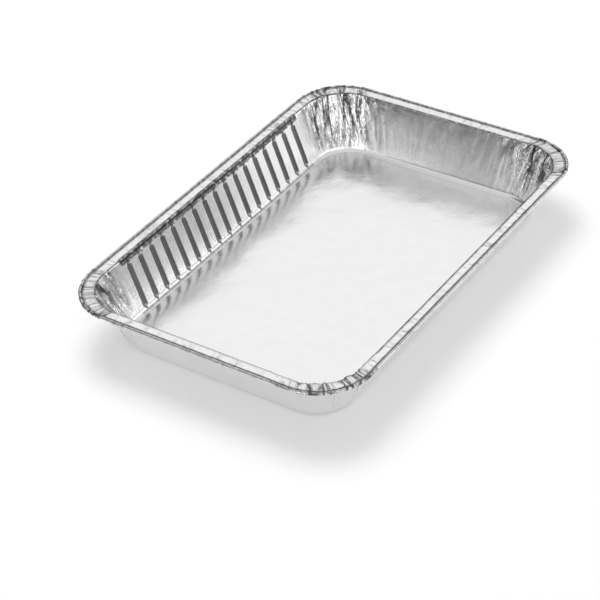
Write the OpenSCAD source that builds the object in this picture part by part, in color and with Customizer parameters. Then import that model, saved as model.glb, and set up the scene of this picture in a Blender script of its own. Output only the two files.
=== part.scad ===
// Shallow drip pan pressed from one sheet of aluminium foil.
// Origin at the middle of the base's underside, +X along the length, +Z up.
// The sheet is one closed polyhedron. Its section is a list of rows, from the edge of the
// base out to the end of the rolled rim, and each row is a ring of places around the pan.

/* [Pan] */
// Length over the rolled rim
pan_l = 315; // [240:1:420]
// Width over the rolled rim
pan_w = 215; // [160:1:300]
// Height from the underside of the base to the top of the rim
pan_h = 40; // [28:1:80]
// Thickness of the foil
foil_t = 0.1; // [0.06:0.01:0.3]

/* [Rim] */
// Outside radius of the rim at the corners, seen from above
rim_r = 37; // [32:0.5:55]
// Width of the flat flange between the wall and the rolled edge
flange_w = 6.4; // [4:0.1:14]
// Diameter of the rolled edge
bead_d = 2.6; // [1.6:0.1:5]
// Depth of the flange below the top of the rolled edge
flange_drop = 1; // [0.4:0.1:2]
// Radius of the turn from the wall to the flange
lip_r = 1.2; // [0.6:0.1:3]

/* [Wall] */
// Lean of the wall from upright, in degrees
wall_lean = 19; // [8:1:30]
// Radius of the wall's corners at its top, seen from above
top_r = 30; // [24:0.5:36]
// Radius of the base's corners, seen from above
base_r = 26; // [20:0.5:40]
// Radius of the bend between the base and the wall
bend_r = 4; // [1.5:0.1:8]

/* [Flutes] */
// Distance from one groove of a long wall to the next
flute_pitch = 12; // [8:0.5:20]
// Width of a groove at its mouth
groove_w = 5; // [2.5:0.1:7]
// Width of each sloping side of a groove
groove_side = 1.2; // [0.4:0.1:1.2]
// Depth of a groove, which is pressed outwards
groove_d = 1.3; // [0.4:0.1:2.5]
// Least smooth stretch at the foot of a long wall, between the last groove and the corner
smooth_end = 5; // [2:1:50]
// Height over which a groove runs out at its top and at its foot
groove_runout = 3.4; // [1:0.1:6]
// Height of the plain wall above the grooves
plain_top = 2; // [1:0.1:6]

/* [Gathers] */
// Spaces between the folds of one corner's gathers
corner_spaces = 26; // [12:2:40]
// Depth of the gathers in the corner walls, each way
gather_d = 0.55; // [0:0.05:1]
// Depth of the pleats that the gathers leave in the rim
pleat_d = 0.6; // [0:0.05:1]
// Spaces between the waves of a short wall
end_spaces = 8; // [3:1:16]
// Depth of the waves in the short walls, each way
wave_d = 0.3; // [0:0.05:1]

/* [Hidden] */

// Heights and insets of the middle of the sheet; an inset is measured from the rim's outside
flange_z = pan_h - flange_drop;
wall_slope = 90 - wall_lean;
wall_top_z = flange_z - lip_r * (1 - cos(wall_slope));
wall_foot_z = foil_t / 2 + bend_r * (1 - cos(wall_slope));
groove_top_z = wall_top_z - plain_top;
flange_inset = bead_d + flange_w;
valley_inset = bead_d + foil_t;
wall_top_inset = flange_inset + lip_r * sin(wall_slope);
wall_foot_inset = wall_top_inset + (wall_top_z - wall_foot_z) * tan(wall_lean);
base_inset = wall_foot_inset + bend_r * sin(wall_slope);

// A row: [inset, height, corner radius, shares of groove, gather and pleat, without groove places]
function bend_row(turn, gather) =
    [base_inset - bend_r * sin(turn), foil_t / 2 + bend_r * (1 - cos(turn)), base_r, 0, gather, 0, true];

function wall_row(z, groove, gather, plain) =
    let (up = (z - wall_foot_z) / (wall_top_z - wall_foot_z))
    [wall_foot_inset + (wall_top_inset - wall_foot_inset) * up, z, base_r + (top_r - base_r) * up,
     groove, gather, 0, plain];

function rim_row(inset, z, pleat) =
    [inset, z, rim_r + (top_r - rim_r) * inset / wall_top_inset, 0, 0, pleat, true];

function bead_row(turn) =
    let (r = (bead_d - foil_t) / 2)
    rim_row(bead_d / 2 - r * cos(turn), pan_h - bead_d / 2 + r * sin(turn), 0.3);

rows = [
    bend_row(0, 0),
    bend_row(wall_slope / 2, 0.2),
    wall_row(wall_foot_z, 0, 0.5, false),
    wall_row(wall_foot_z + groove_runout, 1, 1, false),
    wall_row(groove_top_z - groove_runout, 1, 1, false),
    wall_row(groove_top_z, 0, 0.8, false),
    wall_row(wall_top_z, 0, 0.6, true),
    rim_row(flange_inset, flange_z, 0.5),
    rim_row(valley_inset, flange_z, 1),
    for (turn = [135:-45:-135]) bead_row(turn)
];
last = len(rows) - 1;

// Uneven share from -1 to 1 for the k-th fold of side q, and its fold in or out
function uneven(k, q) = 0.6 * sin(k * 137.5 + q * 71) + 0.4 * sin(k * 57.3 + q * 133);
function fold(k, q) = (k % 2 == 0 ? 1 : -1) * (0.7 + 0.3 * uneven(k, q));

// A place: [shares of the way to the corner's centre in x and y, shift in x and y, facing angle,
// groove, gather, wave, on the plain rows too]
function corner_place(q, k) =
    let (edge = k == 0 || k == corner_spaces,
         a = 90 * (q + (k + (edge ? 0 : 0.25 * uneven(k, q))) / corner_spaces))
    [cos(90 * q) - sin(90 * q), sin(90 * q) + cos(90 * q), 0, 0, a, 0, edge ? 0 : fold(k, q), 0, true];

function short_wall_place(q, k) =
    let (share = 2 * k / end_spaces - 1)
    [cos(90 * q), cos(90 * q) * share, 0, 0, 90 * q, 0, 0, fold(k, q), true];

function long_wall_place(q, along, groove) =
    [0, sin(90 * q), -sin(90 * q) * along, 0, 90 * q, groove, 0, 0, false];

// The shortest straight run of a long wall is at the base's edge
straight_half = pan_l / 2 - base_inset - base_r;
grooves_each_way = floor((straight_half - smooth_end - groove_w / 2) / flute_pitch);
groove_floor_w = groove_w - 2 * groove_side;

function long_wall(q) =
    [for (i = [-grooves_each_way:grooves_each_way]) let (middle = i * flute_pitch)
        each [long_wall_place(q, middle - groove_w / 2, 0),
              long_wall_place(q, middle - groove_floor_w / 2, 1),
              long_wall_place(q, middle + groove_floor_w / 2, 1),
              long_wall_place(q, middle + groove_w / 2, 0)]];

function short_wall(q) = [for (k = [1:end_spaces - 1]) short_wall_place(q, k)];
function corner(q) = [for (k = [0:corner_spaces]) corner_place(q, k)];

places = [for (q = [0:3]) each concat(q % 2 == 0 ? short_wall(q) : long_wall(q), corner(q))];
plain_places = [for (p = places) if (p[8]) p];
kept = [for (i = [0:len(places) - 1]) if (places[i][8]) i];

// Direction square to the section at a row, as [outwards, up]; the base faces straight up
function unit(v) = v / norm(v);
function step(i) = unit([rows[i][0] - rows[i + 1][0], rows[i + 1][1] - rows[i][1]]);
function square_to(i) =
    let (d = i == last ? step(i - 1) : unit(step(i - 1) + step(i)))
    [-d[1], d[0]];
squares = [for (i = [0:last]) i == 0 ? [0, 1] : square_to(i)];

// Point of a row at a place, a distance above the middle of the sheet
function point(row, square, p, above) =
    let (r = row[2],
         out = r + row[3] * p[5] * groove_d + row[4] * (p[6] * gather_d + p[7] * wave_d)
             + square[0] * above)
    [p[0] * (pan_l / 2 - row[0] - r) + p[2] + out * cos(p[4]),
     p[1] * (pan_w / 2 - row[0] - r) + p[3] + out * sin(p[4]),
     row[1] + row[5] * (p[6] - abs(p[6])) / 2 * pleat_d + square[1] * above];

function skin(above) =
    [for (i = [0:last], p = rows[i][6] ? plain_places : places) point(rows[i], squares[i], p, above)];

// Number of points in a row, and before it in its skin
counts = [for (row = rows) len(row[6] ? plain_places : places)];
function before(i) = i == 0 ? 0 : before(i - 1) + counts[i - 1];
skin_count = before(last + 1);
centre = 2 * skin_count;

// Triangles of a ring between two rows of n points, which start at a and at b
function ring(a, b, n) =
    [for (k = [0:n - 1]) let (m = (k + 1) % n)
        each [[a + k, a + m, b + m], [a + k, b + m, b + k]]];

// Triangles of a ring between a plain row and a grooved one: a fan from each end of a plain side
function fans(plain, grooved) =
    let (n = len(places))
    [for (k = [0:len(kept) - 1])
        let (m = (k + 1) % len(kept), start = kept[k], end = m == 0 ? n + kept[0] : kept[m],
             middle = floor((start + end) / 2))
        each [for (j = [start:1:middle - 1]) [plain + k, grooved + (j + 1) % n, grooved + j % n],
              [plain + k, plain + m, grooved + middle % n],
              for (j = [middle:1:end - 1]) [plain + m, grooved + (j + 1) % n, grooved + j % n]]];

function turned(faces) = [for (f = faces) [f[0], f[2], f[1]]];
function moved(faces, n) = [for (f = faces) [f[0] + n, f[1] + n, f[2] + n]];

function between(i) =
    let (a = before(i), b = before(i + 1))
    rows[i][6] == rows[i + 1][6] ? ring(a, b, counts[i]) :
    rows[i][6] ? fans(a, b) : turned(fans(b, a));

wall_faces = [for (i = [0:last - 1]) each between(i)];
base_faces = [for (k = [0:counts[0] - 1]) [(k + 1) % counts[0], k]];

module foil_pan() {
    top_faces = concat([for (f = base_faces) [centre, f[0], f[1]]], wall_faces);
    under_faces = concat(
        [for (f = base_faces) [centre + 1, f[1] + skin_count, f[0] + skin_count]],
        turned(moved(wall_faces, skin_count)));
    edge_faces = ring(before(last), skin_count + before(last), counts[last]);
    color("silver")
        polyhedron(
            points = concat(skin(foil_t / 2), skin(-foil_t / 2), [[0, 0, foil_t], [0, 0, 0]]),
            faces = concat(top_faces, under_faces, edge_faces));
}

foil_pan();
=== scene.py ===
import math

import bpy
import numpy as np
from mathutils import Matrix, Vector
from mathutils.geometry import delaunay_2d_cdt


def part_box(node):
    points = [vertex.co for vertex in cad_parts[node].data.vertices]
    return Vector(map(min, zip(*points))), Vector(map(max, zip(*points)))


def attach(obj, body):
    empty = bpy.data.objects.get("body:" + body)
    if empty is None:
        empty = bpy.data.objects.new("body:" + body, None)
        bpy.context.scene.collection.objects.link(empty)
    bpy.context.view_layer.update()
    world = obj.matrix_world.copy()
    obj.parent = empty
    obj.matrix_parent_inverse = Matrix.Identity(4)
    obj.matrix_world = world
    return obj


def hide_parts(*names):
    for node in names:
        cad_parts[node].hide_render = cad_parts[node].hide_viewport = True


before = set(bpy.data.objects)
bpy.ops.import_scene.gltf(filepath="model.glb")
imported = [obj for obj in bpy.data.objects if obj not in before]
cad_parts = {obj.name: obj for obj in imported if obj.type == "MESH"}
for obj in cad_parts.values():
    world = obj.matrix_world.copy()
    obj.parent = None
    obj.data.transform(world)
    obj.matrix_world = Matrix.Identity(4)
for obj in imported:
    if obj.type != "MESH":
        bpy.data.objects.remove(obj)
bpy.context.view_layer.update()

# The pan's sizes in metres. Its length, width and height come from the frame.
MM = 0.001
low_corner, high_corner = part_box("foil_pan")
PAN_LENGTH, PAN_WIDTH, PAN_HEIGHT = high_corner - low_corner
FOIL_THICKNESS = 0.1 * MM
RIM_RADIUS = 37 * MM
FLANGE_WIDTH = 6.4 * MM
BEAD_WIDTH = 2.6 * MM
FLANGE_DROP = 1 * MM
LIP_RADIUS = 1.2 * MM
WALL_LEAN = math.radians(19)
WALL_TOP_RADIUS = 30 * MM
BASE_RADIUS = 26 * MM
BEND_RADIUS = 4 * MM
GROOVE_PITCH = 12 * MM
GROOVES_EACH_WAY = 8
PLAIN_TOP = 2 * MM

# Heights and insets of the middle of the sheet. An inset is measured from the rim's outside.
WALL_SLOPE = math.pi / 2 - WALL_LEAN
FLANGE_Z = PAN_HEIGHT - FLANGE_DROP
WALL_TOP_Z = FLANGE_Z - LIP_RADIUS * (1 - math.cos(WALL_SLOPE))
WALL_FOOT_Z = FOIL_THICKNESS / 2 + BEND_RADIUS * (1 - math.cos(WALL_SLOPE))
GROOVE_TOP_Z = WALL_TOP_Z - PLAIN_TOP
FLANGE_INSET = BEAD_WIDTH + FLANGE_WIDTH
WALL_TOP_INSET = FLANGE_INSET + LIP_RADIUS * math.sin(WALL_SLOPE)
WALL_FOOT_INSET = WALL_TOP_INSET + (WALL_TOP_Z - WALL_FOOT_Z) * math.tan(WALL_LEAN)
BASE_INSET = WALL_FOOT_INSET + BEND_RADIUS * math.sin(WALL_SLOPE)


class Value:
    """One output of a node. Arithmetic on it adds Math nodes to its tree."""

    def __init__(self, graph, socket):
        self.graph = graph
        self.socket = socket

    def math(self, operation, *others):
        return self.graph.node("ShaderNodeMath", {"operation": operation}, [self, *others])

    def __add__(self, other):
        return self.math("ADD", other)

    def __radd__(self, other):
        return self.math("ADD", other)

    def __sub__(self, other):
        return self.math("SUBTRACT", other)

    def __rsub__(self, other):
        return self.graph.node("ShaderNodeMath", {"operation": "SUBTRACT"}, [other, self])

    def __mul__(self, other):
        return self.math("MULTIPLY", other)

    def __truediv__(self, other):
        return self.math("DIVIDE", other)

    def least(self, other):
        return self.math("MINIMUM", other)

    def most(self, other):
        return self.math("MAXIMUM", other)

    def between(self, low, high):
        """The value held between two limits."""
        return self.most(low).least(high)

    def eased(self, start, end):
        """0 at start and before it, 1 at end and after it, with a smooth rise between."""
        inputs = {"Value": self, "From Min": start, "From Max": end}
        return self.graph.node("ShaderNodeMapRange", {"interpolation_type": "SMOOTHSTEP"}, inputs)


class Graph:
    """A node tree, with one method that adds any node and short names for those used often."""

    def __init__(self, tree):
        self.tree = tree

    def node(self, kind, settings=None, inputs=None, output=0):
        """Adds a node: its settings first, then the values or links of its sockets."""
        made = self.tree.nodes.new(kind)
        for name, value in (settings or {}).items():
            setattr(made, name, value)
        pairs = inputs.items() if isinstance(inputs, dict) else enumerate(inputs or [])
        for key, value in pairs:
            if isinstance(value, Value):
                self.tree.links.new(value.socket, made.inputs[key])
            else:
                made.inputs[key].default_value = value
        return Value(self, made.outputs[output])

    def vector(self, x, y, z=0.0):
        return self.node("ShaderNodeCombineXYZ", None, [x, y, z])

    def parts(self, vector):
        """The x, y and z of a vector."""
        split = self.node("ShaderNodeSeparateXYZ", None, [vector]).socket.node
        return [Value(self, socket) for socket in split.outputs]

    def scaled(self, vector, factor):
        inputs = {"Vector": vector, "Scale": factor}
        return self.node("ShaderNodeVectorMath", {"operation": "SCALE"}, inputs)

    def noise(self, place, scale, detail=2.0, roughness=0.5):
        """Soft noise, from about -1 to 1."""
        inputs = {"Vector": place, "Scale": scale, "Detail": detail, "Roughness": roughness}
        return self.node("ShaderNodeTexNoise", {"normalize": False}, inputs)

    def creases(self, place):
        """Flat facets that meet in straight folds: 0 along each fold, about 0.5 inside a cell."""
        settings = {"voronoi_dimensions": "2D", "feature": "DISTANCE_TO_EDGE"}
        return self.node("ShaderNodeTexVoronoi", settings, {"Vector": place, "Scale": 1.0})


# The smooth shell: rows of the section, and places around the pan

# Rows up the wall, in three bands: by the grooves' feet, between, and by their tops
FOOT_ROWS = 4
MIDDLE_ROWS = 6
TOP_ROWS = 9
FOOT_BAND = 3 * MM
TOP_BAND = 6.3 * MM
# Degrees that the rolled edge turns on either side of its top
BEAD_TURN = 140
# Share of the gathers at the wall's foot, how fast they grow up it, and their shares in the rim
FOOT_GATHER = 0.15
GATHER_GROWTH = 2.2
LIP_GATHER = 0.7
FLANGE_GATHER = 0.8
# Share of the flange in the lip, and how fast the crushed folds of the edge fade into the flange
LIP_FLANGE = 0.3
CRUSH_FADE = 1.3
# Shares of painted shade, a dark line in the colour, at each sharp turn of the foil, row by row
BEND_LINES = (0, 0.1, 0.45, 0.3)
LIP_LINES = (0.7, 0.8, 0.25)
VALLEY_LINE = 0.6
BEAD_LINES = (0.8, 0, 0.45, 0.25, 0, 0, 0, 0)


def rim_radius(inset):
    """Corner radius in the rim, which goes evenly from the wall's top to the outside."""
    return RIM_RADIUS + (WALL_TOP_RADIUS - RIM_RADIUS) * inset / WALL_TOP_INSET


# A row is its inset, height and corner radius, and its shares of gathers, of crushed folds, of
# flange and of painted dark line of shade.

def bend_rows():
    for turn, line in zip(np.linspace(0, WALL_SLOPE, len(BEND_LINES) + 1), BEND_LINES):
        inset = BASE_INSET - BEND_RADIUS * math.sin(turn)
        z = FOIL_THICKNESS / 2 + BEND_RADIUS * (1 - math.cos(turn))
        yield inset, z, BASE_RADIUS, 0, 0, 0, line


def wall_rows():
    marks = [WALL_FOOT_Z, WALL_FOOT_Z + FOOT_BAND, WALL_TOP_Z - TOP_BAND, WALL_TOP_Z]
    heights = np.concatenate([
        np.linspace(marks[0], marks[1], FOOT_ROWS, endpoint=False),
        np.linspace(marks[1], marks[2], MIDDLE_ROWS, endpoint=False),
        np.linspace(marks[2], marks[3], TOP_ROWS + 1)])
    for z in heights:
        up = (z - WALL_FOOT_Z) / (WALL_TOP_Z - WALL_FOOT_Z)
        inset = WALL_FOOT_INSET + (WALL_TOP_INSET - WALL_FOOT_INSET) * up
        radius = BASE_RADIUS + (WALL_TOP_RADIUS - BASE_RADIUS) * up
        yield inset, z, radius, min(1, FOOT_GATHER + GATHER_GROWTH * up), 0, 0, 0


def rim_rows():
    for turn, line in zip(np.linspace(WALL_SLOPE, 0, len(LIP_LINES) + 1)[1:], LIP_LINES):
        inset = FLANGE_INSET + LIP_RADIUS * math.sin(turn)
        z = FLANGE_Z - LIP_RADIUS * (1 - math.cos(turn))
        yield inset, z, rim_radius(inset), LIP_GATHER, 0, LIP_FLANGE, line
    for out in (0.25, 0.5, 0.75, 1):
        inset = FLANGE_INSET + (BEAD_WIDTH + FOIL_THICKNESS - FLANGE_INSET) * out
        crush = max(0, 1 - CRUSH_FADE * (1 - out))
        line = VALLEY_LINE if out == 1 else 0
        yield inset, FLANGE_Z, rim_radius(inset), FLANGE_GATHER, crush, 1, line
    bead_radius = (BEAD_WIDTH - FOIL_THICKNESS) / 2
    bead_turns = np.radians(np.linspace(BEAD_TURN, -BEAD_TURN, len(BEAD_LINES)))
    for turn, line in zip(bead_turns, BEAD_LINES):
        inset = BEAD_WIDTH / 2 - bead_radius * math.cos(turn)
        z = PAN_HEIGHT - BEAD_WIDTH / 2 + bead_radius * math.sin(turn)
        yield inset, z, rim_radius(inset), 0, 1, 0, line


# Steps between the places around the pan: a corner, a short wall, and a smooth end of a long wall
CORNER_STEPS = 124
SHORT_WALL_STEPS = 72
SMOOTH_END_STEPS = 12
# Share of the gathers in the middle of a short wall, and how late they grow towards its corners
SHORT_WALL_GATHER = 0.12
SHORT_WALL_POWER = 6
# Half of a groove's mouth, and the distances from its middle that have a line of points
GROOVE_MOUTH = 2.5 * MM
GROOVE_STEPS = np.array([0.2, 1.2, 2.2, 2.5, 2.8, 3.6, 4.8]) * MM
GROOVED_HALF = (GROOVES_EACH_WAY + 0.5) * GROOVE_PITCH
# Heights between which a groove is pressed, and over which it runs out
GROOVE_FOOT_Z = 0.9 * MM
FOOT_RUNOUT = 2.6 * MM
TOP_RUNOUT = 3.6 * MM
# Least width of a groove as a share, and the height over which its lines of points spread again
NARROWEST = 0.22
WIDENING = 2 * MM


def groove_narrowing(height):
    """Share of its full width that a groove has at a height, and how the lines of points close
    up with it. Beyond the groove's tips they spread again."""
    over_foot = (height - GROOVE_FOOT_Z) / FOOT_RUNOUT
    under_top = (GROOVE_TOP_Z - height) / TOP_RUNOUT
    beyond = np.maximum(np.maximum(GROOVE_FOOT_Z - height, height - GROOVE_TOP_Z), 0)
    share = np.clip(np.minimum(over_foot, under_top), NARROWEST, 1)
    return np.minimum(share + beyond / WIDENING, 1)


def narrowed(run, height):
    """Places along a long wall, with the lines of points at each groove closed up."""
    middle = np.round(run / GROOVE_PITCH) * GROOVE_PITCH
    across = np.abs(run - middle)
    mouth = GROOVE_MOUTH * groove_narrowing(height)
    bar_stretch = (GROOVE_PITCH / 2 - mouth) / (GROOVE_PITCH / 2 - GROOVE_MOUTH)
    outer = mouth + (across - GROOVE_MOUTH) * bar_stretch
    inner = across / GROOVE_MOUTH * mouth
    return middle + np.sign(run - middle) * np.where(across < GROOVE_MOUTH, inner, outer)


def places_around():
    """Places around the pan, anticlockwise from above, as an array. Its columns are the shares of
    the way to the corner's centre in x and in y, a shift in x, the facing angle, the share of
    gathers and that of grooves."""
    across = np.concatenate([[-GROOVE_PITCH / 2], -GROOVE_STEPS[::-1], [0], GROOVE_STEPS])
    middles = np.arange(-GROOVES_EACH_WAY, GROOVES_EACH_WAY + 1) * GROOVE_PITCH
    grooved = np.append((middles[:, None] + across).ravel(), GROOVED_HALF)
    inner_shares = np.arange(1, SMOOTH_END_STEPS) / SMOOTH_END_STEPS
    places = []
    for quarter in range(4):
        angle = quarter * math.pi / 2
        c, s = round(math.cos(angle)), round(math.sin(angle))
        if quarter % 2 == 0:
            for share in np.linspace(-1, 1, SHORT_WALL_STEPS + 1)[1:-1]:
                gather = SHORT_WALL_GATHER + (1 - SHORT_WALL_GATHER) * abs(share) ** SHORT_WALL_POWER
                places.append((c, c * share, 0, angle, gather, 0))
        else:
            for share in inner_shares[::-1]:
                shift = s * GROOVED_HALF * (1 - share)
                places.append((s * share, s, shift, angle, share ** 2, 0))
            for run in grooved:
                places.append((0, s, -s * run, angle, 0, 1))
            for share in inner_shares:
                shift = -s * GROOVED_HALF * (1 - share)
                places.append((-s * share, s, shift, angle, share ** 2, 0))
        for share in np.linspace(0, 1, CORNER_STEPS + 1):
            places.append((c - s, s + c, 0, angle + share * math.pi / 2, 1, 0))
    places = np.array(places)
    # The ring starts in the middle groove of the long wall at -Y
    starts = (places[:, 5] == 1) & (places[:, 1] < 0)
    start = np.argmin(np.where(starts, np.abs(places[:, 2]), np.inf))
    return np.roll(places, -start, axis=0)


# Share of the crushed folds that the rolled edge has along the straight walls
BEAD_CRUSH_SHARE = 0.35


def ring_lengths(ring):
    """Distance of each point of a closed ring from the first, along the ring, and the whole."""
    steps = np.linalg.norm(np.roll(ring, -1, axis=0) - ring, axis=1)
    return np.concatenate([[0], np.cumsum(steps)[:-1]]), steps.sum()


BASE_POINT_SPACING = 6.5 * MM


def base_fill(edge):
    """Points inside the base's edge, and the triangles that join them to it."""
    reach = edge.max(axis=0) - BASE_POINT_SPACING / 2
    xs = np.linspace(-reach[0], reach[0], int(2 * reach[0] / BASE_POINT_SPACING))
    ys = np.linspace(-reach[1], reach[1], int(2 * reach[1] / BASE_POINT_SPACING))
    grid = np.array([(x, y) for x in xs for y in ys])
    beyond = np.maximum(np.abs(grid) - (edge.max(axis=0) - BASE_RADIUS), 0)
    grid = grid[np.linalg.norm(beyond, axis=1) < BASE_RADIUS - BASE_POINT_SPACING / 2]
    points = [Vector(p) for p in np.vstack([edge, grid])]
    outline = [list(range(len(edge)))]
    _, _, triangles, *_ = delaunay_2d_cdt(points, [], outline, 1, 1e-7)
    return grid, [list(t) for t in triangles]


def smooth_shell():
    """The pan's sheet before pressing, as one open skin whose faces look up and inwards."""
    rows = np.array([*bend_rows(), *wall_rows(), *rim_rows()])
    places = places_around()
    inset, height, radius, row_gather, row_bead, row_flange, row_line = rows.T[:, :, None]
    to_x, to_y, shift, angle, gather, groove = places.T[:, None, :]
    from_groove = np.abs(shift - np.round(shift / GROOVE_PITCH) * GROOVE_PITCH)
    shift = np.where(groove > 0, narrowed(shift, height), shift)
    x = to_x * (PAN_LENGTH / 2 - inset - radius) + shift + radius * np.cos(angle)
    y = to_y * (PAN_WIDTH / 2 - inset - radius) + radius * np.sin(angle)
    shell = np.stack([x, y, height + 0 * x], axis=-1)
    row_count, place_count = x.shape
    grid, triangles = base_fill(shell[0, :, :2])
    floor_points = np.column_stack([grid, np.full(len(grid), FOIL_THICKNESS / 2)])
    points = np.vstack([shell.reshape(-1, 3), floor_points])
    # The base's triangles count the first row and then the inner points, which come last here
    inner_offset = (row_count - 1) * place_count
    faces = [[i if i < place_count else i + inner_offset for i in t] for t in triangles]
    around = np.arange(place_count)
    after = np.roll(around, -1)
    for row in range(row_count - 1):
        a, b = row * place_count, (row + 1) * place_count
        faces += np.stack([a + around, b + around, b + after, a + after], axis=1).tolist()
    mesh = bpy.data.meshes.new("foil_pan_sheet")
    mesh.from_pydata(points.tolist(), [], faces)

    along, whole = ring_lengths(shell[row_count // 2])
    section_steps = np.linalg.norm(np.diff(rows[:, :2], axis=0), axis=1)
    rise = np.concatenate([[0], np.cumsum(section_steps)])
    # Each attribute's values on the shell, and its value inside the base
    spread = {
        "along": (along + 0 * inset, 0),
        "rise": (rise[:, None] + 0 * x, 0),
        "gather": (gather * row_gather, 0),
        "bead": ((BEAD_CRUSH_SHARE + (1 - BEAD_CRUSH_SHARE) * gather) * row_bead, 0),
        "flange": (row_flange + 0 * x, 0),
        "line": (row_line * np.where(height < PAN_HEIGHT / 2, groove, 1), 0),
        "groove": (groove * (1 - row_flange) * (row_bead == 0), 0),
        "from groove": (from_groove + 0 * inset, 0),
        "base": (0 * x, 1),
    }
    for name, (values, inside) in spread.items():
        attribute = mesh.attributes.new(name, "FLOAT", "POINT")
        filled = np.append(values.ravel(), np.full(len(grid), inside))
        attribute.data.foreach_set("value", filled.astype(np.float32))
    add_sheet_uv(mesh, spread["along"][0].ravel(), spread["rise"][0].ravel(), whole)
    return mesh


def add_sheet_uv(mesh, along, rise, whole):
    """A UV map in metres: around the pan, and up its section. The base has one point of it."""
    corners = np.zeros(len(mesh.loops), np.int32)
    mesh.loops.foreach_get("vertex_index", corners)
    on_shell = corners < len(along)
    picked = np.where(on_shell, corners, 0)
    u = np.where(on_shell, along[picked], 0)
    v = np.where(on_shell, rise[picked], 0)
    for face in mesh.polygons:
        if face.loop_total == 4:
            own = slice(face.loop_start, face.loop_start + 4)
            u[own] = np.where(u[own] < u[own].max() - whole / 2, u[own] + whole, u[own])
    layer = mesh.uv_layers.new(name="sheet")
    layer.data.foreach_set("uv", np.column_stack([u, v]).ravel().astype(np.float32))


# The press: grooves, gathers and ripples, made by one geometry tree

PRESS_SIZES = {
    "Groove floor": 0.2 * MM,
    "Groove mouth": GROOVE_MOUTH,
    "Groove depth": 1.25 * MM,
    "Groove foot": GROOVE_FOOT_Z,
    "Groove top": GROOVE_TOP_Z,
    "Foot run-out": FOOT_RUNOUT,
    "Top run-out": TOP_RUNOUT,
    "Bar half width": GROOVE_PITCH / 2,
    "Bar top": GROOVE_TOP_Z - 0.1 * MM,
    "Bar shoulder": 1.0 * MM,
    "Bar step": 0.4 * MM,
    "Bar raggedness": 1.2 * MM,
    "Band shoulder": 2.6 * MM,
    "Gather spacing": 4.3 * MM,
    "Gather length": 42 * MM,
    "Gather depth": 2.6 * MM,
    "Gather drift": 1.8 * MM,
    "Bead crush": 0.6 * MM,
    "Flange ripple": 0.16 * MM,
    "Wall ripple": 0.2 * MM,
    "Base ripple": 1.1 * MM,
    "Seed": 4.0,
}
MASKS = ("along", "rise", "gather", "bead", "flange", "line", "groove", "from groove", "base")

# Waves of noise to the metre: along the sheet and up it, or in every direction
BAR_TOP_WAVES = (420, 0)
SWAY_WAVES = (50, 55)
PATCH_WAVES = (130, 28)
FLANGE_WAVES = (210, 40)
WALL_WAVES = 34
BASE_WAVES = 22
# How late the bars' tops, and the painted dark band of shade above them, dip towards the grooves
SHOULDER_POWER = 2.5
BAND_POWER = 5.0
# Heights over which the step at a bar's top and the painted shade band come in, from the bar's top
STEP_EASE = (-0.5 * MM, 0.5 * MM)
BAND_EASE = (-1.4 * MM, -0.6 * MM)
# Fine folds to one coarse fold, across and up
FINE_FOLDS = (2.3, 3.1)
# Depths of the folds. Beyond the reach, in cells, the foil is flat, and the mean depth is taken
# off so that the wall as a whole stays in its place.
FOLD_REACH = 0.3
COARSE_DEPTH = 1.4
FINE_DEPTH = 0.8
MEAN_DEPTH = 0.33
# Middle, swing and limits of the folds' strength from patch to patch
PATCH_MIDDLE = 0.85
PATCH_SWING = 1.3
PATCH_LIMITS = (0.35, 1.3)
# Widths in cells of the folds' painted dark lines of shade, the share of the fine ones, and the
# darkness of all
COARSE_LINE = 0.22
FINE_LINE = 0.18
FINE_SHARE = 0.8
FOLD_DARKNESS = 0.85
# Darkness of the painted shade along the folds in the straight flange
FLANGE_FOLDS = 0.35
# What the flange takes off the depth, the line's width and the share of the fine folds
FLANGE_DEPTH_LOSS = 0.4
FLANGE_LINE_LOSS = 0.1
FLANGE_SHARE_LOSS = 0.6
# Ripple that the grooved wall loses, and the stretches of the section where ripple comes and goes
GROOVED_LOSS = 0.6
RIPPLE_IN = (3 * MM, 10 * MM)
RIPPLE_OUT = (40 * MM, 46 * MM)


def sheet_noise(graph, mask, size, waves, detail):
    """Noise that runs with the sheet."""
    place = graph.vector(mask["along"] * waves[0], mask["rise"] * waves[1], size["Seed"])
    return graph.noise(place, 1.0, detail=detail)


def press_grooves(graph, mask, size, z):
    """The share pressed into a groove, the relief of the grooves and of the steps at the bars'
    tops, and the share of the painted shade, a dark band, above the bars."""
    over_foot = (z - size["Groove foot"]) / size["Foot run-out"]
    under_top = (size["Groove top"] - z) / size["Top run-out"]
    side = size["Groove mouth"] - size["Groove floor"]
    groove = ((size["Groove mouth"] - mask["from groove"]) / side).between(0, 1)
    pressed = groove * over_foot.least(under_top).between(0, 1) * mask["groove"]
    off_middle = 1 - mask["from groove"] / size["Bar half width"]
    ragged = sheet_noise(graph, mask, size, BAR_TOP_WAVES, 2.0) * size["Bar raggedness"]
    shoulder = off_middle.math("POWER", SHOULDER_POWER) * size["Bar shoulder"]
    bar_top = size["Bar top"] + ragged - shoulder
    step = (z - bar_top).eased(*STEP_EASE) * mask["groove"]
    band_foot = bar_top - off_middle.math("POWER", BAND_POWER) * size["Band shoulder"]
    band = (z - band_foot).eased(*BAND_EASE) * mask["groove"]
    relief = (pressed * size["Groove depth"]).most(step * size["Bar step"])
    return pressed, relief, band


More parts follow.
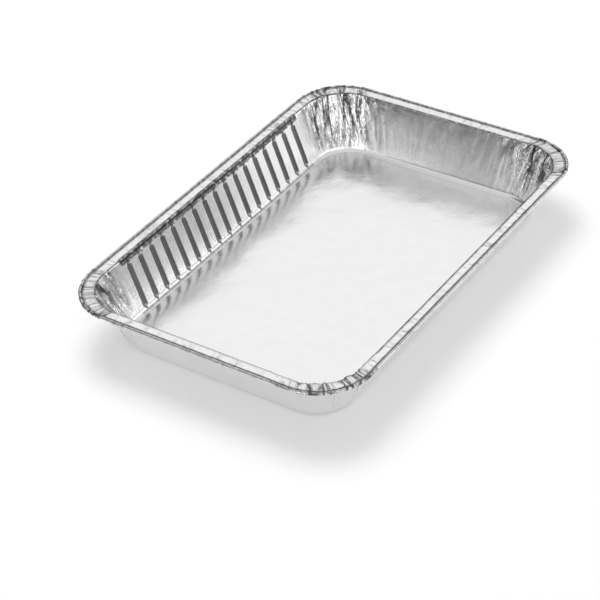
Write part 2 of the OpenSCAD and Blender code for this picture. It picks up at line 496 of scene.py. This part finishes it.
def press_folds(graph, mask, size):
    """The depth of the gathers and of the crushed folds, and the painted shade of dark lines along
    them.
    """
    drift = sheet_noise(graph, mask, size, SWAY_WAVES, 2.0) * size["Gather drift"]
    across = (mask["along"] + drift) / size["Gather spacing"]
    upward = mask["rise"] / size["Gather length"]
    coarse = graph.creases(graph.vector(across, upward + size["Seed"]))
    fine = graph.creases(graph.vector(across * FINE_FOLDS[0], upward * FINE_FOLDS[1]))
    strength = sheet_noise(graph, mask, size, PATCH_WAVES, 1.0) * PATCH_SWING + PATCH_MIDDLE
    strength = strength.between(*PATCH_LIMITS)
    fine_depth = FINE_DEPTH - mask["flange"] * FLANGE_DEPTH_LOSS
    fold = coarse.least(FOLD_REACH) * COARSE_DEPTH + fine.least(FOLD_REACH) * fine_depth
    gather = (fold - MEAN_DEPTH) * mask["gather"] * strength * size["Gather depth"]
    crush = fold * mask["bead"] * size["Bead crush"]
    coarse_line = COARSE_LINE - mask["flange"] * FLANGE_LINE_LOSS
    fine_share = FINE_SHARE - mask["flange"] * FLANGE_SHARE_LOSS
    fine_lines = (1 - fine.eased(0, FINE_LINE)) * fine_share
    lines = (1 - (coarse / coarse_line).eased(0.1, 1)).most(fine_lines)
    folded = mask["gather"].most(mask["bead"]).most(mask["flange"] * FLANGE_FOLDS)
    return gather, crush, lines * folded * strength * FOLD_DARKNESS


def press_ripples(graph, mask, size, position):
    """The ripple of the walls and of the flange, and the lift of the base."""
    flange_ripple = sheet_noise(graph, mask, size, FLANGE_WAVES, 1.0)
    flange_ripple = flange_ripple * mask["flange"] * size["Flange ripple"]
    wall_ripple = graph.noise(position, WALL_WAVES, detail=1.5) * size["Wall ripple"]
    wall_ripple = wall_ripple * (1 - mask["groove"] * GROOVED_LOSS)
    wall_ripple = wall_ripple * mask["rise"].eased(*RIPPLE_IN) * (1 - mask["rise"].eased(*RIPPLE_OUT))
    base_lift = (graph.noise(position, BASE_WAVES, detail=2.0) * 0.5 + 0.5).between(0, 1)
    return wall_ripple + flange_ripple, base_lift * size["Base ripple"] * mask["base"]


def press_tree(material):
    tree = bpy.data.node_groups.new("press", "GeometryNodeTree")
    tree.interface.new_socket("Sheet", in_out="INPUT", socket_type="NodeSocketGeometry")
    tree.interface.new_socket("Pan", in_out="OUTPUT", socket_type="NodeSocketGeometry")
    for name, default in PRESS_SIZES.items():
        socket = tree.interface.new_socket(name, in_out="INPUT", socket_type="NodeSocketFloat")
        socket.default_value = default
    graph = Graph(tree)
    entry = graph.node("NodeGroupInput").socket.node
    sheet = Value(graph, entry.outputs["Sheet"])
    size = {name: Value(graph, entry.outputs[name]) for name in PRESS_SIZES}
    settings = {"data_type": "FLOAT"}
    mask = {
        name: graph.node("GeometryNodeInputNamedAttribute", settings, {"Name": name})
        for name in MASKS
    }
    position = graph.node("GeometryNodeInputPosition")
    _, y, z = graph.parts(position)
    pressed, relief, band = press_grooves(graph, mask, size, z)
    gather, crush, fold_lines = press_folds(graph, mask, size)
    ripple, base_lift = press_ripples(graph, mask, size, position)
    # Painted shade: dark lines along folds and sharp turns, and a dark band above the bars, kept for
    # the colour
    painted_crease_shade = fold_lines.most(mask["line"]).most(band).least(1)

    along_normal = graph.scaled(graph.node("GeometryNodeInputNormal"), gather + ripple - crush)
    straight = graph.vector(0.0, y.math("SIGN") * relief, base_lift)
    offset = graph.node("ShaderNodeVectorMath", {"operation": "ADD"}, [along_normal, straight])
    settings = {"data_type": "FLOAT", "domain": "POINT"}
    marked = sheet
    for name, value in (("pressed", pressed), ("painted_crease_shade", painted_crease_shade)):
        inputs = {"Geometry": marked, "Name": name, "Value": value}
        marked = graph.node("GeometryNodeStoreNamedAttribute", settings, inputs)
    shaped = graph.node("GeometryNodeSetPosition", None, {"Geometry": marked, "Offset": offset})
    inputs = {"Geometry": shaped, "Shade Smooth": True}
    smooth = graph.node("GeometryNodeSetShadeSmooth", None, inputs)
    real = graph.node("GeometryNodeRealizeInstances", None, {"Geometry": smooth})
    inputs = {"Geometry": real, "Material": material}
    finished = graph.node("GeometryNodeSetMaterial", None, inputs)
    leave = tree.nodes.new("NodeGroupOutput")
    tree.links.new(finished.socket, leave.inputs["Pan"])
    return tree


def pressed_pan(material):
    """The pan: the smooth shell pressed, given its thickness and made a plain mesh."""
    raw = bpy.data.objects.new("raw_sheet", smooth_shell())
    bpy.context.scene.collection.objects.link(raw)
    press = raw.modifiers.new("press", "NODES")
    press.node_group = press_tree(material)
    for item in press.node_group.interface.items_tree:
        if item.in_out == "INPUT" and item.name in PRESS_SIZES:
            press[item.identifier] = PRESS_SIZES[item.name]
    thicken = raw.modifiers.new("foil", "SOLIDIFY")
    thicken.thickness = FOIL_THICKNESS
    thicken.offset = 0
    evaluated = raw.evaluated_get(bpy.context.evaluated_depsgraph_get())
    mesh = bpy.data.meshes.new_from_object(evaluated)
    mesh.name = "foil_pan_sheet"
    # The second half of the points is the underside, which gets no painted shade in its grooves and
    # creases
    for name in ("pressed", "painted_crease_shade"):
        shaded = mesh.attributes[name].data
        for point in range(len(shaded) // 2, len(shaded)):
            shaded[point].value = 0
    bpy.data.objects.remove(raw)
    pan = bpy.data.objects.new("foil_pan_sheet", mesh)
    bpy.context.scene.collection.objects.link(pan)
    return pan


# Materials

def new_material(name):
    material = bpy.data.materials.new(name)
    material.use_nodes = True
    material.node_tree.nodes.clear()
    return material, Graph(material.node_tree)


def close_material(graph, shader):
    leave = graph.tree.nodes.new("ShaderNodeOutputMaterial")
    graph.tree.links.new(shader.socket, leave.inputs["Surface"])


# Painted shade: shares of the light that the grooves and the creases lose, darkened into the foil's
# colour, since narrow folds of real foil shade themselves more than the mesh shows
GROOVE_SHADE = 0.7
CREASE_SHADE = 0.92
# Share pressed in at which a groove has its full painted shade
GROOVE_SHADE_FROM = 0.14
# The foil's two greys, which lie in soft clouds
GREYS = ((0.89, 0.89, 0.895, 1), (0.92, 0.92, 0.925, 1))
# Waves to the metre of the foil's marks. Rolling lines run along X, and crinkles with the sheet.
ROLLING_WAVES = (60, 2600, 2600)
CRINKLE_WAVES = (900, 260, 1)
MOTTLE_WAVES = 520.0
RAGGED_WAVES = 380.0
CLOUD_WAVES = 90.0
DENT_WAVES = 60.0
BUMP_DEPTH = 0.03 * MM


def bright_foil():
    material, graph = new_material("bright_foil")
    place = graph.node("ShaderNodeTexCoord", output=3)
    sheet = graph.node("ShaderNodeUVMap", {"uv_map": "sheet"})
    gather, pressed, painted_crease_shade, base = [
        graph.node("ShaderNodeAttribute", {"attribute_name": name}, output=2)
        for name in ("gather", "pressed", "painted_crease_shade", "base")]
    stretched = graph.node("ShaderNodeMapping", None, {"Vector": place, "Scale": ROLLING_WAVES})
    rolling = graph.noise(stretched, 1.0)
    mottle = graph.noise(place, MOTTLE_WAVES, detail=3.0, roughness=0.6)
    cloud = graph.noise(place, CLOUD_WAVES)
    ragged = graph.noise(place, RAGGED_WAVES)
    crinkled = graph.node("ShaderNodeMapping", None, {"Vector": sheet, "Scale": CRINKLE_WAVES})
    crinkle = graph.creases(crinkled) * gather
    dents = graph.noise(place, DENT_WAVES) * base
    height = rolling * 0.25 + mottle * 0.5 + crinkle * 6.0 + dents * 2.5
    inputs = {"Strength": 1.0, "Distance": BUMP_DEPTH, "Height": height}
    bump = graph.node("ShaderNodeBump", None, inputs)
    roughness = 0.18 - gather * 0.12 + cloud * 0.03 + mottle * 0.02
    # Sockets 0, 6 and 7 of the Mix node are its factor and its two colours
    inputs = {0: cloud.eased(-0.8, 0.8), 6: GREYS[0], 7: GREYS[1]}
    grey = graph.node("ShaderNodeMix", {"data_type": "RGBA"}, inputs, output=2)
    # Painted shade: the grooves' colour is darkened, standing in for the shade inside them
    painted_groove_shade = pressed.eased(0.0, GROOVE_SHADE_FROM) * GROOVE_SHADE
    # Painted shade: the creases and the band above the bars darken the colour, broken up by noise
    broken_crease_shade = (painted_crease_shade * (1.1 + ragged * 0.6)).between(0, 1) * CREASE_SHADE
    colour = graph.scaled(grey, 1 - painted_groove_shade.most(broken_crease_shade))
    foil = graph.node("ShaderNodeBsdfPrincipled", None, {
        "Base Color": colour, "Metallic": 1.0, "Roughness": roughness, "Normal": bump})
    close_material(graph, foil)
    return material


# The studio

# The camera's place and axes, solved from the rim, the corners and the base of the pan
CAMERA_PLACE = Vector((-0.8991, -0.6278, 0.7975))
CAMERA_RIGHT = Vector((0.55411, -0.83044, -0.05770))
CAMERA_UP = Vector((0.52437, 0.29437, 0.79898))
CAMERA_LENS = 121.28
SENSOR_WIDTH = 36


def add_camera():
    data = bpy.data.cameras.new("camera")
    data.lens = CAMERA_LENS
    data.sensor_width = SENSOR_WIDTH
    camera = bpy.data.objects.new("camera", data)
    bpy.context.scene.collection.objects.link(camera)
    turn = Matrix((CAMERA_RIGHT, CAMERA_UP, CAMERA_RIGHT.cross(CAMERA_UP))).transposed()
    camera.matrix_world = Matrix.Translation(CAMERA_PLACE) @ turn.to_4x4()
    bpy.context.scene.camera = camera


def seen_directly(graph):
    """1 for rays of the camera, of reflections and of transmission, otherwise 0."""
    kinds = graph.node("ShaderNodeLightPath").socket.node.outputs
    names = ("Is Camera Ray", "Is Glossy Ray", "Is Transmission Ray")
    rays = [Value(graph, kinds[name]) for name in names]
    return rays[0].most(rays[1]).most(rays[2])


FLOOR_HALF = 4.0
FLOOR_GREY = (0.86, 0.86, 0.86, 1)
# What the floor adds where it is seen directly, and the room's light where it is not
FLOOR_GLOW = 0.14
ROOM_LIGHT = 0.92


def add_floor():
    mesh = bpy.data.meshes.new("floor")
    sides = ((-1, -1), (1, -1), (1, 1), (-1, 1))
    corners = [(x * FLOOR_HALF, y * FLOOR_HALF, 0) for x, y in sides]
    mesh.from_pydata(corners, [], [(0, 1, 2, 3)])
    floor = bpy.data.objects.new("floor", mesh)
    bpy.context.scene.collection.objects.link(floor)
    material, graph = new_material("white_floor")
    paint = graph.node("ShaderNodeBsdfDiffuse", None, {"Color": FLOOR_GREY})
    added = seen_directly(graph) * FLOOR_GLOW
    glow = graph.node("ShaderNodeEmission", None, {"Strength": added})
    close_material(graph, graph.node("ShaderNodeAddShader", None, [paint, glow]))
    mesh.materials.append(material)


def add_world():
    world = bpy.data.worlds.new("room")
    world.use_nodes = True
    world.node_tree.nodes.clear()
    graph = Graph(world.node_tree)
    strength = ROOM_LIGHT + seen_directly(graph) * (1 - ROOM_LIGHT)
    light = graph.node("ShaderNodeBackground", None, {"Strength": strength})
    leave = world.node_tree.nodes.new("ShaderNodeOutputWorld")
    world.node_tree.links.new(light.socket, leave.inputs["Surface"])
    bpy.context.scene.world = world


DOME_RADIUS = 3.0
DOME_RINGS = 12
DOME_TURNS = 48
# Brightness near the floor and above, the height in degrees where it changes, and half the
# width in degrees of every soft edge
LOW_GLOW = 0.12
HIGH_GLOW = 0.7
HIGH_FROM = 22
SOFT_EDGE = 9
# Softboxes in degrees: direction round the pan, half width, lower and upper edge, and brightness
SOFTBOXES = (
    (92, 20, 8, 58, 0.2),
    (38, 21, 22, 54, 0.98),
    (180, 14, 0, 40, 2.4),
    (236, 20, 8, 58, 1.2),
    (268, 6, 0, 40, 2.4),
    (304, 28, 2, 28, 1.95),
)


def dome_light(graph):
    """Brightness of the dome by direction: dim near the floor, softly lit above, and a few
    softboxes. The first of them is a dark card."""
    x, y, z = graph.parts(graph.node("ShaderNodeTexCoord", output=3))
    degrees = 180 / math.pi
    turn = y.math("ARCTAN2", x) * degrees
    height = (z / DOME_RADIUS).math("ARCSINE") * degrees
    light = height.eased(HIGH_FROM - SOFT_EDGE, HIGH_FROM + SOFT_EDGE)
    light = light * (HIGH_GLOW - LOW_GLOW) + LOW_GLOW
    for direction, half, bottom, top, brightness in SOFTBOXES:
        # Two whole turns are added because the remainder of a number below 0 is below 0 as well
        ahead = turn + (2 * 360 + 180 - direction)
        aside = (ahead.math("MODULO", 360.0) - 180).math("ABSOLUTE")
        box = 1 - aside.eased(half - SOFT_EDGE, half + SOFT_EDGE)
        box = box * height.eased(bottom - SOFT_EDGE, bottom + SOFT_EDGE)
        box = box * (1 - height.eased(top - SOFT_EDGE, top + SOFT_EDGE))
        light = light + box * (brightness - light)
    return light


def add_dome():
    """A dome with softboxes, which only reflections see."""
    tops = np.linspace(0, math.pi / 2, DOME_RINGS + 1)[:-1]
    turns = np.linspace(0, 2 * math.pi, DOME_TURNS, endpoint=False)
    directions = [
        (math.cos(e) * math.cos(a), math.cos(e) * math.sin(a), math.sin(e))
        for e in tops for a in turns]
    points = [Vector(d) * DOME_RADIUS for d in directions + [(0, 0, 1)]]
    faces = []
    for ring in range(DOME_RINGS):
        for i in range(DOME_TURNS):
            a, b = ring * DOME_TURNS + i, ring * DOME_TURNS + (i + 1) % DOME_TURNS
            if ring == DOME_RINGS - 1:
                faces.append((a, b, len(points) - 1))
            else:
                faces.append((a, b, b + DOME_TURNS, a + DOME_TURNS))
    mesh = bpy.data.meshes.new("studio_dome")
    mesh.from_pydata(points, [], faces)
    dome = bpy.data.objects.new("studio_dome", mesh)
    bpy.context.scene.collection.objects.link(dome)
    dome.visible_camera = False
    dome.visible_diffuse = False
    dome.visible_shadow = False
    material, graph = new_material("dome_light")
    glow = graph.node("ShaderNodeEmission", None, {"Strength": dome_light(graph)})
    close_material(graph, glow)
    mesh.materials.append(material)


LAMP_PLACE = Vector((0.5, 0.6, 1.7))
LAMP_WIDTH = 1.2
LAMP_POWER = 14


def add_lamp():
    """A round softbox that faces the pan. Reflections see the dome's softboxes instead."""
    data = bpy.data.lights.new("softbox", "AREA")
    data.shape = "DISK"
    data.size = LAMP_WIDTH
    data.energy = LAMP_POWER
    lamp = bpy.data.objects.new("softbox", data)
    bpy.context.scene.collection.objects.link(lamp)
    turn = LAMP_PLACE.to_track_quat("Z", "Y").to_matrix().to_4x4()
    lamp.matrix_world = Matrix.Translation(LAMP_PLACE) @ turn
    lamp.visible_glossy = False


bpy.context.scene.view_settings.view_transform = "Standard"
add_camera()
add_world()
add_floor()
add_dome()
add_lamp()

pan = pressed_pan(bright_foil())
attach(pan, "root")
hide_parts("foil_pan")
